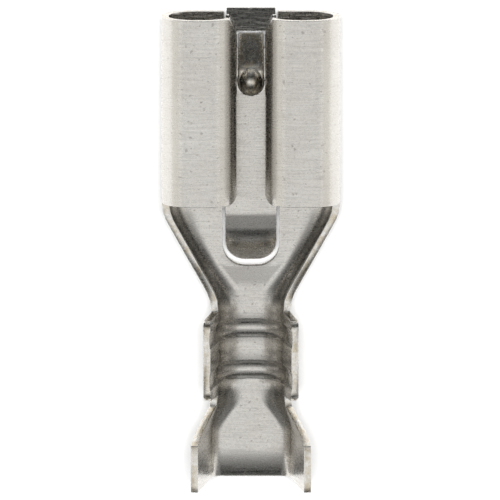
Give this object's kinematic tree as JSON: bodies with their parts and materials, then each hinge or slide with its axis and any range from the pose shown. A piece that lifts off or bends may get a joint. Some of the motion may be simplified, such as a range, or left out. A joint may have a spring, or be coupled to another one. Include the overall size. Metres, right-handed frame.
{
  "type": "female spade terminal",
  "caption": "Open-barrel crimp terminal: two rolled curls grip a flat tab over a dimpled floor, with a locking lance, a wire barrel and an insulation barrel.",
  "frame": {"origin": "middle of the mouth, on the contact floor that the tab slides over", "axes": "+Y leaves through the mouth, +Z rises from the floor towards the open side of the barrels, +X runs across the strip"},
  "size_m": [0.0076, 0.0203, 0.0047],
  "materials": {
    "tin_plate": "satin tin plate over brass, with fine marks across the strip"
  },
  "bodies": {
    "root": {"terminal": "tin_plate"}
  },
  "joints": []
}
